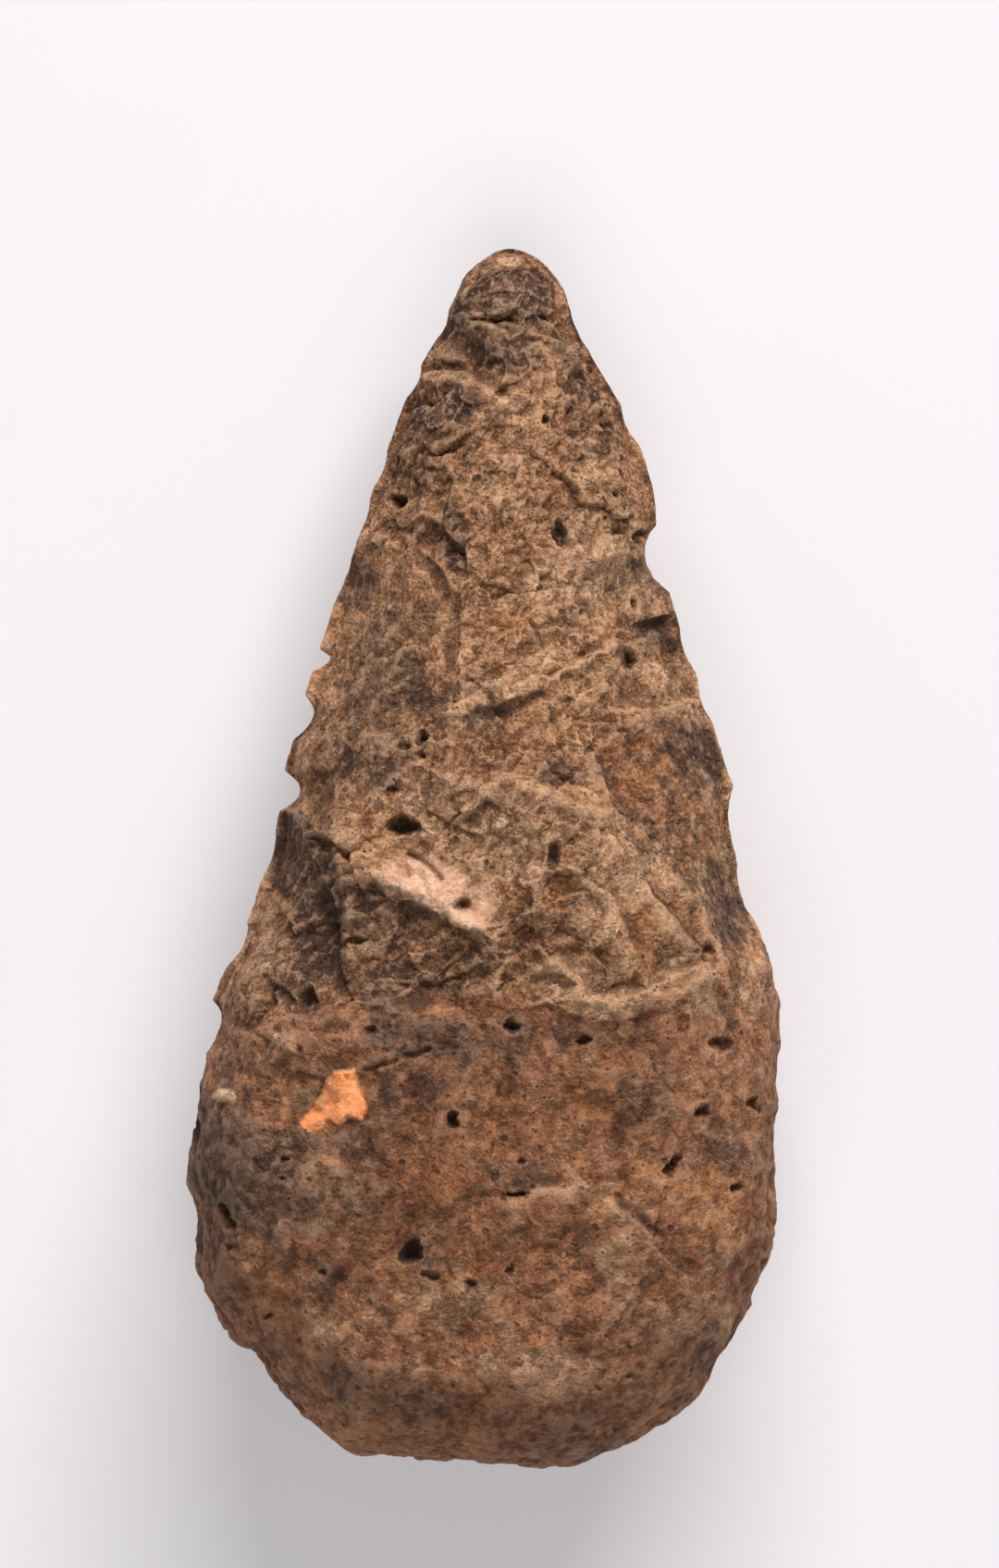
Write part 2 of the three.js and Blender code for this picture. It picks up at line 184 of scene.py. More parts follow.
def to_rib(x, y):
    """The rib s through a point, and how far out along it the point is."""
    spine_y = np.clip(y, BUTT_Y, TIP_Y)
    dx, dy = x - spine_x(spine_y), y - spine_y
    turn = np.arctan2(np.abs(dy), np.abs(dx) + 1e-12)
    t = np.where(dy < 0, BUTT_Y - BUTT_FAN * turn, np.where(dy > 0, TIP_Y + TIP_FAN * turn, spine_y))
    return np.where(dx >= 0, RIB_TOP - t, HALF_TURN + (t - RIB_BOTTOM)), np.hypot(dx, dy)


def whole_reach(s):
    """Distance from spine to unchipped edge along the rib at s, a closed smooth curve."""
    outline = np.array(OUTLINE)
    at, reach = to_rib(outline[:, 0], outline[:, 1])
    order = np.argsort(at)
    at, reach = at[order], reach[order]
    knots = np.concatenate([at[-3:] - TURN, at, at[:3] + TURN])
    return smooth_curve(np.stack([knots, np.concatenate([reach[-3:], reach, reach[:3]])], 1), s % TURN)


def chipped_share(s):
    """The share of the whole reach that the small edge chips leave at s: each chip is a round bite."""
    x0, y0, dx, dy = ribs(s % TURN)
    reach = whole_reach(s)
    x, y = x0 + reach * dx, y0 + reach * dy
    lost = sum(depth * np.maximum(0, 1 - ((x - cx)**2 + (y - cy)**2) / half**2)
               for cx, cy, half, depth in CHIPS)
    return 1 - lost / reach


def bend(x, y):
    """Moves the place a little, in long waves, so that no scar is a clean oval."""
    return (x + 0.5 * np.sin(0.31 * y + 0.4) + 0.35 * np.sin(0.23 * x + 0.57 * y + 2.1),
            y + 0.5 * np.sin(0.29 * x + 1.7) + 0.35 * np.sin(0.51 * x - 0.27 * y + 0.3))


def scar_depth(scars, x, y):
    """The deepest scar at a place: depth * (1 - |along|^end - |across|^side), more at one end by lean."""
    bent_x, bent_y = bend(x, y)
    deepest = np.zeros_like(x)
    for cx, cy, heading, reach, spread, depth, end, side, lean in scars.values():
        turn = math.radians(heading)
        along = ((bent_x - cx) * math.cos(turn) + (bent_y - cy) * math.sin(turn)) / reach
        across = ((bent_y - cy) * math.cos(turn) - (bent_x - cx) * math.sin(turn)) / spread
        bowl = np.maximum(0, 1 - np.abs(along)**end - np.abs(across)**side)
        deepest = np.maximum(deepest, depth * bowl * (1 + lean * along))
    return deepest


def lens_height(lens, scars, x, y, rho):
    """A face over the edge's own level: height * (1 - rho^fullness)^bluntness, less its scars."""
    rows = np.array(lens, float)
    spine_y = np.clip(y, BUTT_Y, TIP_Y)
    height, full, blunt = (smooth_curve(rows[:, [0, k]], spine_y) for k in (1, 2, 3))
    whole = height * np.maximum(0, 1 - rho**full)**blunt
    return np.maximum(whole - scar_depth(scars, x, y), LEAST_LEFT * whole)


def edge_height(s, y, rho):
    """The edge's level falls from butt to tip, and waves that fade towards the spine ride on it."""
    share = (np.clip(y, BUTT_Y, TIP_Y) - BUTT_Y) / (TIP_Y - BUTT_Y)
    level = EDGE_AT_BUTT + share * (EDGE_AT_TIP - EDGE_AT_BUTT)
    waves = sum(rise * np.sin(2 * math.pi * count * s / TURN + phase) for rise, count, phase in EDGE_WAVES)
    return level + (WAVES_AT_BUTT + share * (1 - WAVES_AT_BUTT)) * waves * rho**3


# ---- broken grain, worked out in 3-D

LATTICE = 48


def rough(points, size, seed):
    """Gradient noise, about -1 to 1: a random slope at each corner of a cubic lattice, eased between
    the eight corners round a point."""
    slopes = np.random.default_rng(seed).normal(size=(LATTICE, LATTICE, LATTICE, 3))
    slopes /= np.linalg.norm(slopes, axis=-1, keepdims=True)
    place = points / size + 0.37 * seed
    corner = np.floor(place).astype(int)
    part = place - corner
    eased = part**3 * (part * (part * 6 - 15) + 10)
    total = np.zeros(len(points))
    for shift in itertools.product((0, 1), repeat=3):
        shift = np.array(shift)
        i, j, k = ((corner + shift) % LATTICE).T
        weight = np.prod(np.where(shift == 1, eased, 1 - eased), axis=1)
        total += weight * np.sum(slopes[i, j, k] * (part - shift), axis=1)
    return 1.7 * total


def facets(points, size, seed):
    """Small flats that meet in steps and edges: each cell round a scattered point is a plane with a
    random tilt, and a place takes the height of its nearest point's plane."""
    random = np.random.default_rng(seed)
    spots = random.random((LATTICE, LATTICE, LATTICE, 3))
    tilts = random.normal(size=(LATTICE, LATTICE, LATTICE, 3))
    place = points / size + 0.53 * seed
    corner = np.floor(place).astype(int)
    nearest = np.full(len(points), np.inf)
    height = np.zeros(len(points))
    for shift in itertools.product((-1, 0, 1), repeat=3):
        cell = corner + np.array(shift)
        i, j, k = (cell % LATTICE).T
        away = place - cell - spots[i, j, k]
        distance = np.sum(away**2, axis=1)
        height = np.where(distance < nearest, np.sum(away * tilts[i, j, k], axis=1), height)
        nearest = np.minimum(nearest, distance)
    return height


def ledges(points, size, seed, steps):
    """Treads and risers, about -1 to 1: gradient noise cut into steps, level for the first part of
    each step and then up to the next."""
    level = rough(points, size, seed) * steps
    tread = np.floor(level)
    return (tread + smooth_step(0.45, 1.0, level - tread)) / steps


def smooth_step(low, high, value):
    """0 below low, 1 above high, and an eased rise between."""
    u = np.clip((value - low) / (high - low), 0, 1)
    return u * u * (3 - 2 * u)


def layered(noise, points, rows):
    """The sum of several noises of one kind: each row is a height and what the noise is given."""
    return sum(height * noise(points, *given) for height, *given in rows)


# ---- named marks on the uppermost face

# The scars whose surface is smooth; elsewhere the break is splintered.
CLEAN_SCARS = ("left_oval", "right_long", "right_arch", "right_step", "right_band", "right_foot", "left_low")
# Splinters are drawn out along a line turned this many degrees, by this much.
SPLINTER_TURN, SPLINTER_STRETCH = 35, 1.4
# Holes where grains fell out: x, y, half length, half width, turn in degrees, depth.
PITS = [
    (9.0, 64.4, 0.9, 0.7, 100, 1.6), (-12.7, 52.4, 1.3, 1.1, 20, 2.2), (19.3, 53.5, 0.7, 0.6, 0, 1.3),
    (18.2, 50.0, 0.5, 0.4, 0, 0.8), (11.6, 47.6, 2.4, 1.0, 112, 2.2), (22.9, 47.3, 1.3, 0.9, 40, 1.6),
    (14.0, 35.8, 0.5, 0.4, 0, 0.9), (22.0, 37.4, 1.0, 0.5, 80, 1.2), (20.9, 29.0, 2.0, 0.8, 125, 2.4),
    (-9.2, 17.5, 1.3, 1.0, 60, 2.2), (-11.8, 16.4, 1.2, 0.6, 150, 1.4), (-9.3, 15.1, 0.8, 0.6, 0, 1.2),
    (10.1, 0.3, 1.8, 1.1, 80, 1.7), (-18.6, -12.1, 1.7, 0.7, 0, 1.1), (4.0, -24.4, 1.5, 0.8, 170, 1.8),
    (14.7, -26.6, 1.3, 0.8, 10, 1.5), (34.5, -27.0, 2.1, 1.1, 170, 1.3), (31.8, -37.0, 1.4, 1.0, 10, 1.6),
    (-4.5, -38.0, 1.3, 1.0, 90, 1.9), (39.6, -36.2, 1.5, 0.8, 140, 1.4), (27.7, -44.8, 2.1, 1.0, 60, 2.3),
    (37.0, -48.3, 1.2, 0.7, 20, 1.3), (5.3, -44.0, 0.6, 0.5, 0, 0.9), (4.5, -48.9, 2.2, 0.6, 5, 1.4),
    (-10.5, -57.3, 2.1, 1.6, 70, 2.6), (-7.7, -60.9, 1.7, 0.6, 160, 1.3), (-1.8, -61.8, 0.8, 0.7, 0, 1.2),
    (4.0, -59.9, 0.8, 0.6, 30, 1.2), (-31.6, -67.0, 0.8, 0.6, 30, 1.1), (-37.8, -52.6, 2.3, 0.8, 110, 1.6),
    (-29.2, -43.7, 0.6, 0.5, 0, 0.9), (-21.9, -87.8, 1.2, 0.9, 30, 1.2), (-25.6, -20.5, 1.7, 1.3, 50, 1.6),
    (-22.3, -5.8, 0.5, 0.5, 0, 1.0), (-19.9, 0.1, 0.5, 0.5, 0, 1.0), (-11.6, 4.6, 2.7, 1.6, 175, 2.2),
    (-3.1, -6.8, 1.5, 0.9, 15, 1.8), (33.0, -13.6, 0.9, 0.7, 120, 1.2), (-16.7, -25.0, 1.0, 0.6, 10, 0.9),
]
# Cracks, slots and the grooves at the feet of steps: half width, depth, then the points that they
# run through.
CRACKS = [
    (2.2, 0.9, [(-24.0, 11.5), (-24.0, 4.0), (-22.8, -5.0), (-21.0, -13.0), (-20.0, -19.0)]),
    (1.4, 0.6, [(-1.8, 5.8), (2.7, 9.6), (8.6, 7.0), (15.8, 4.4)]),
    (1.6, 0.7, [(20.5, 34.8), (28.5, 34.0)]),
    (1.3, 0.4, [(-1.0, 20.6), (4.0, 21.6), (11.0, 25.2), (18.0, 28.8)]),
    (1.3, 0.7, [(-15.5, -4.0), (-9.0, -7.6), (-4.0, -10.4), (0.0, -12.3)]),
    (0.9, 0.5, [(19.5, -49.2), (22.8, -51.8), (25.4, -54.6)]),
    (1.2, 0.5, [(-9.0, 72.8), (-3.0, 72.0), (2.6, 69.0)]), (1.0, 0.5, [(-20.0, -24.5), (-30.0, -25.5)]),
    (0.45, 0.8, [(-1.4, 79.0), (0.6, 78.6), (3.0, 79.2), (4.6, 78.5)]),
    (0.55, 0.9, [(-10.7, 0.8), (-8.6, -0.9), (-6.4, -2.7)]),
    (1.10, 0.55, [(-11.0, 44.5), (-7.6, 41.5), (-5.2, 37.0), (-4.4, 32.0), (-4.9, 27.0), (-6.5, 23.0)]),
    (0.40, 0.5, [(-16.6, -30.4), (-12.8, -29.2)]), (0.45, 0.6, [(-11.3, -28.7), (-8.3, -27.7)]),
]
# Crests where two breaks meet: width of the slope on the left of the run and on the right, rise, then
# the points that they run through.
CRESTS = [
    (7.0, 1.1, 1.65, [(17.2, 6.2), (10.3, 9.1), (2.9, 11.9), (-1.7, 7.9)]),
    (8.0, 1.2, 1.50, [(18.9, 30.8), (11.5, 27.3), (4.6, 23.6), (0.0, 25.0), (-3.9, 22.2)]),
    (4.0, 0.9, 0.45, [(11.5, 30.8), (7.0, 28.6), (2.3, 25.6)]),
    (5.0, 1.0, 1.20, [(30.3, -13.2), (21.7, -2.3), (17.7, 5.1), (14.9, 15.4)]),
    (3.0, 0.9, 0.60, [(34.3, -12.6), (28.0, -3.5)]),
    (4.0, 1.0, 0.90, [(22.0, -16.0), (18.3, -7.5), (14.9, -2.3)]),
    (4.0, 1.3, 1.35, [(31.4, -15.4), (23.9, -18.8), (19.4, -20.9), (14.9, -20.0), (9.7, -15.4)]),
    (5.0, 1.1, 0.60, [(-0.8, -10.6), (-6.2, -7.5), (-13.1, -4.6), (-15.9, -2.2), (-23.3, -2.0)]),
    (4.0, 1.0, 0.90, [(2.6, 67.5), (-3.0, 70.5), (-9.0, 71.5)]),
    (4.0, 1.0, 0.90, [(13.0, 75.0), (6.0, 76.0), (1.0, 78.0), (-2.5, 79.5)]),
    (0.9, 9.0, 0.80, [(6.8, -48.5), (15.1, -47.2), (24.2, -55.4), (22.9, -60.4), (20.5, -65.0)]),
    (6.0, 1.2, 0.60, [(-30.0, -27.0), (-24.0, -31.5), (-17.0, -30.0)]),
]
# Rims of the two inlaid chips, the stretch of rim along which the cream shows, and the crease along
# which the orange one stands highest.
CREAM_CHIP = [(-14.8, -1.3), (-13.4, -4.7), (-10.0, -6.8), (-5.9, -8.1), (-1.1, -10.9), (1.0, -9.5),
              (3.0, -6.8), (1.6, -3.4), (-3.1, -1.3), (-7.3, 0.8), (-11.4, 0.1)]
CREAM_BREAK = CREAM_CHIP[:5]
ORANGE_CHIP = [
    (-26.8, -38.5), (-23.7, -34.6), (-22.7, -32.1), (-21.5, -31.1), (-18.8, -30.7), (-18.1, -33.6),
    (-16.8, -36.1), (-17.5, -38.0), (-19.6, -37.6), (-20.9, -38.9), (-22.4, -38.0), (-23.7, -39.2),
    (-25.6, -39.8),
]
ORANGE_CREASE = [(-20.7, -31.2), (-21.2, -34.2), (-19.8, -35.5), (-20.1, -38.4)]
# The rind's border on the uppermost face as (x, y), and its level y on the back.
RIND_BORDER = [(-44, -26), (-30, -24), (-18, -21), (4, -20), (20, -21), (36, -17), (44, -18)]
BACK_RIND_BORDER = -30
# Half width of the painted highlight along the named crests, in millimetres.
CREST_HIGHLIGHT_HALF = 0.9
# Pale grains set in the stone: x, y, half length, half width, turn in degrees, rise.
GRAINS = [
    (2.5, 5.3, 1.3, 0.6, 70, 0.25), (-8.3, 4.4, 0.6, 0.5, 0, 0.35), (-7.6, 3.5, 0.5, 0.45, 0, 0.3),
    (-9.0, 3.4, 0.5, 0.4, 0, 0.3), (-3.1, -8.8, 2.0, 1.1, 160, 0.4), (-28.1, -78.5, 0.5, 0.4, 0, 0.2),
    (-30.5, -25.7, 0.5, 0.5, 0, 0.25), (-38.0, -34.8, 1.9, 1.0, 5, 0.35),
]


def oval(x, y, shape):
    """1 at the middle of a turned oval, 0 on its rim and outside it, falling with the square."""
    cx, cy, half_long, half_wide, turn = shape
    c, s = math.cos(math.radians(turn)), math.sin(math.radians(turn))
    along = ((x - cx) * c + (y - cy) * s) / half_long
    across = ((y - cy) * c - (x - cx) * s) / half_wide
    return np.maximum(0, 1 - along**2 - across**2)


def pit_depth(points):
    """The deepest pit at a place: an oval with a ragged rim, round at its floor."""
    x = points[:, 0] + layered(rough, points, [(0.45, 1.9, 41), (0.25, 0.8, 43)])
    y = points[:, 1] + layered(rough, points, [(0.45, 1.9, 42), (0.25, 0.8, 44)])
    deepest = np.zeros_like(x)
    for *shape, depth in PITS:
        deepest = np.maximum(deepest, depth * oval(x, y, shape)**0.8)
    return deepest


def line_distance(x, y, points):
    """Distance to the nearest of the straight stretches between points."""
    nearest = np.full(x.shape, 1e9)
    for (ax, ay), (bx, by) in zip(points, points[1:]):
        share = np.clip(((x - ax) * (bx - ax) + (y - ay) * (by - ay)) / ((bx - ax)**2 + (by - ay)**2), 0, 1)
        nearest = np.minimum(nearest, np.hypot(x - ax - share * (bx - ax), y - ay - share * (by - ay)))
    return nearest


def crest_rise(x, y, crests):
    """The highest crest at a place: a straight slope up to the line from each side, each side with a
    width of its own. The side is the sign of the cross product with the nearest straight stretch."""
    highest = np.zeros_like(x)
    for left, right, rise, points in crests:
        for (ax, ay), (bx, by) in zip(points, points[1:]):
            distance = line_distance(x, y, [(ax, ay), (bx, by)])
            on_left = (bx - ax) * (y - ay) - (by - ay) * (x - ax) > 0
            reach = np.where(on_left, left, right)
            highest = np.maximum(highest, rise * np.maximum(0, 1 - distance / reach))
    return highest


def crest_highlight_line(x, y):
    """1 on the named crests, falling to 0 at the half width of the painted highlight along them."""
    nearest = np.min([line_distance(x, y, points) for *_, points in CRESTS], 0)
    return np.clip(1 - nearest / CREST_HIGHLIGHT_HALF, 0, 1)


def line_marks(x, y, marks):
    """The highest of rounded lines, height * (1 - (distance / half width)^2)."""
    highest = np.zeros_like(x)
    for half, height, points in marks:
        highest = np.maximum(highest, height * np.maximum(0, 1 - (line_distance(x, y, points) / half)**2))
    return highest


def inside(x, y, corners, soft):
    """1 well inside a polygon, 0 well outside, eased over soft across its rim. The sign comes from
    counting the sides that a ray to the right crosses."""
    crossings = np.zeros(x.shape, int)
    for (ax, ay), (bx, by) in zip(corners, corners[1:] + corners[:1]):
        spans = (ay > y) != (by > y)
        at = ax + (y - ay) * (bx - ax) / (by - ay if by != ay else 1e-9)
        crossings += spans & (x < at)
    distance = line_distance(x, y, corners + corners[:1])
    return smooth_step(-soft, soft, np.where(crossings % 2 == 1, distance, -distance))


def clean_share(x, y):
    """1 in the middle of the scars where the stone parted cleanly, 0 outside them."""
    share = np.zeros_like(x)
    for name in CLEAN_SCARS:
        depth = FACE_SCARS[name][5]
        share = np.maximum(share, smooth_step(0.0, 0.5, scar_depth({name: FACE_SCARS[name]}, x, y) / depth))
    return share


def cortex_share(x, y, points, on_face):
    """How far the rolled rind is left: on the butt below a wandering border, 0 on the broken faces."""
    wander = layered(rough, points, [(3.0, 14, 61), (1.2, 4, 62)])
    border = np.where(on_face, np.interp(x, *np.transpose(RIND_BORDER)), BACK_RIND_BORDER)
    return smooth_step(1.0, -1.0, y - border - wander)


# ---- the skin

AROUND, RINGS_FACE, RINGS_BACK = ((1500, 170, 90))
MOST_TRIANGLES = 192_000
# Ring spacing: over 1 it draws the rings a little towards the spine.
RING_POWER = 1.1
# Points nearer than this, in metres, are one point.
SAME_POINT = 2e-7


def skin_grid():
    """Rib by rib round the edge, ring by ring from the spine of the face over the edge to the spine of
    the back: rho is the sine of an even step, so that rings crowd where the lenses turn fastest.
    Gives the points, whether each is on the upper face, and rho."""
    s = np.arange(AROUND) / AROUND * TURN
    face = np.sin(np.linspace(0, 1, RINGS_FACE) * math.pi / 2)**RING_POWER
    back = np.sin(np.linspace(1, 0, RINGS_BACK) * math.pi / 2)**RING_POWER
    rho = np.concatenate([face, back[1:]])
    x0, y0, dx, dy = (part[:, None] for part in ribs(s))
    share = chipped_share(s)[:, None]
    reach = whole_reach(s)[:, None] * rho * (1 - (1 - share) * rho**CHIP_FADE)
    x, y = x0 + reach * dx, y0 + reach * dy
    rho, s = np.broadcast_arrays(rho, s[:, None])
    on_face = np.broadcast_to(np.arange(rho.shape[1]) < RINGS_FACE, rho.shape)
    edge = edge_height(s, y, rho)
    upper = edge + lens_height(FACE_LENS, FACE_SCARS, x, y, rho)
    lower = np.maximum(0, edge - lens_height(BACK_LENS, BACK_SCARS, x, y, rho))
    return np.stack([x, y, np.where(on_face, upper, lower)], -1), on_face, rho


def grid_normals(place):
    """Outward normals: the cross product of the steps along and across the ribs, the grid closed round.
    On the spine they are upright, so that the ribs' shared points stay together."""
    wrapped = np.concatenate([place[-1:], place, place[:1]], 0)
    along = wrapped[2:] - wrapped[:-2]
    across = np.gradient(place, axis=1)
    normal = np.cross(along, across)
    length = np.linalg.norm(normal, axis=-1, keepdims=True)
    normal = normal / np.maximum(length, 1e-12)
    normal[:, 0] = (0, 0, 1)
    normal[:, -1] = (0, 0, -1)
    return normal


# Unevenness: height, then size and seed, or for treads size, seed and steps.
BREAK_FLATS = [(0.66, 10.0, 21), (0.34, 3.6, 22), (0.16, 1.8, 24)]
BREAK_TREADS = [(0.34, 6.5, 2, 3), (0.28, 2.4, 3, 2)]
BREAK_LUMPS = [(0.34, 6.0, 9), (0.14, 2.4, 14), (0.12, 1.1, 10)]
RIND_LUMPS = [(0.64, 9.0, 5), (0.28, 3.2, 6), (0.14, 1.2, 7)]


def inlay_rise(points):
    """How far the inlaid chips and grains stand out: small flats on the cream chip, two slopes that
    fall from the crease of the orange one, and domes for the grains."""
    x, y = points[:, 0], points[:, 1]
    cream = 0.7 * facets(points, 5.0, 23)
    orange = 1.1 - 0.24 * line_distance(x, y, ORANGE_CREASE) + 0.40 * facets(points, 2.8, 25)
    rise = inside(x, y, CREAM_CHIP, 0.8) * cream + inside(x, y, ORANGE_CHIP, 0.3) * orange
    for *shape, height in GRAINS:
        rise += height * np.sqrt(oval(x, y, shape))
    return rise


def edge_nicks(points, rho):
    """Small bites out of the butt's edge, 0 away from it."""
    bites = smooth_step(0.0, 0.5, rough(points, 4.0, 41))
    bites += 0.3 * smooth_step(0.1, 0.5, rough(points, 1.8, 42))
    return 0.75 * bites * smooth_step(0.94, 1.0, rho) * smooth_step(-25, -45, points[:, 1])


def relief(points, on_face, rho):
    """How far the stone's surface stands out of the smooth form: flats, treads, lumps and crumbs on
    the breaks, fainter in the clean scars, softer lumps and pores on the rind, and the named marks."""
    x, y = points[:, 0], points[:, 1]
    cortex = cortex_share(x, y, points, on_face)
    broken = 1 - cortex
    clean = np.maximum(clean_share(x, y), inside(x, y, CREAM_CHIP, 0.6)) * on_face
    coarse = broken * (1 - 0.82 * clean) * smooth_step(1.0, 0.8, rho)
    turn = math.radians(SPLINTER_TURN)
    along = (x * math.cos(turn) + y * math.sin(turn)) / SPLINTER_STRETCH
    across = y * math.cos(turn) - x * math.sin(turn)
    drawn_out = np.stack([along, across, points[:, 2]], 1)
    drawn_out += 0.6 * np.stack([rough(points, 4, seed) for seed in (11, 12, 13)], 1)
    height = (0.30 + 0.5 * coarse) * rough(points, 15, 1)
    height += coarse * (layered(facets, drawn_out, BREAK_FLATS) + layered(ledges, drawn_out, BREAK_TREADS)
                        + 0.14 * rough(drawn_out, 1.2, 4))
    height += broken * layered(rough, points, BREAK_LUMPS)
    pores = 0.35 * smooth_step(0.62, 0.85, rough(points, 1.7, 8))
    height += cortex * (layered(rough, points, RIND_LUMPS) - pores)
    bent_x = x + layered(rough, points, [(1.4, 8, 53), (0.6, 2.5, 51)])
    bent_y = y + layered(rough, points, [(1.4, 8, 54), (0.6, 2.5, 52)])
    marks = crest_rise(bent_x, bent_y, CRESTS) - line_marks((x + bent_x) / 2, (y + bent_y) / 2, CRACKS)
    face_only = np.where(on_face, smooth_step(1.0, 0.9, rho), 0)
    height += face_only * (marks - pit_depth(points) + inlay_rise(points))
    return height - edge_nicks(points, rho)


def thin(obj, most):
    """Collapses edges where the surface is flattest until at most that many triangles are left."""
    count = sum(len(face.vertices) - 2 for face in obj.data.polygons)
    if count > most:
        collapse = obj.modifiers.new("thin", "DECIMATE")
        collapse.ratio = most / count
        collapse.use_collapse_triangulate = True
        whole = obj.data
        obj.data = bpy.data.meshes.new_from_object(obj.evaluated_get(bpy.context.evaluated_depsgraph_get()))
        obj.modifiers.clear()
        bpy.data.meshes.remove(whole)
    obj.data.name = obj.name


def quad_mesh(name, points, quads):
    """A mesh from an array of points and an array of four-cornered faces."""
    mesh = bpy.data.meshes.new(name)
    mesh.vertices.add(len(points))
    mesh.vertices.foreach_set("co", points.ravel())
    mesh.loops.add(quads.size)
    mesh.loops.foreach_set("vertex_index", quads.ravel())
    mesh.polygons.add(len(quads))
    mesh.polygons.foreach_set("loop_start", np.arange(len(quads)) * 4)
    mesh.update(calc_edges=True)
    return mesh


def skin_mesh(name):
    """The closed skin, fitted from the smooth form's box to the solid's box."""
    place, on_face, rho = skin_grid()
    normals = grid_normals(place)
    low, high = place.min((0, 1)), place.max((0, 1))
    flat = place.reshape(-1, 3)
    raised = flat + normals.reshape(-1, 3) * relief(flat, on_face.ravel(), rho.ravel())[:, None]
    box_low, box_high = (np.array(corner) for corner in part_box(NODE))
    fitted = box_low + (raised - low) * (box_high - box_low) / (high - low)
    fitted[:, 2] = np.maximum(fitted[:, 2], box_low[2])
    rows, columns = place.shape[:2]
    index = np.arange(rows * columns).reshape(rows, columns)
    after = np.roll(index, -1, 0)
    quads = np.stack([index[:, :-1], index[:, 1:], after[:, 1:], after[:, :-1]], -1).reshape(-1, 4)
    return quad_mesh(name, fitted, quads[:, ::-1])


def closed(mesh, gap):
    """Merges points nearer than the gap, as the ribs' ends on the spine are, drops the faces that
    collapse there, and points all faces outwards."""
    work = bmesh.new()
    work.from_mesh(mesh)
    bmesh.ops.remove_doubles(work, verts=work.verts, dist=gap)
    bmesh.ops.dissolve_degenerate(work, edges=work.edges, dist=gap / 10)
    bmesh.ops.recalc_face_normals(work, faces=work.faces)
    work.to_mesh(mesh)
    work.free()
    return mesh
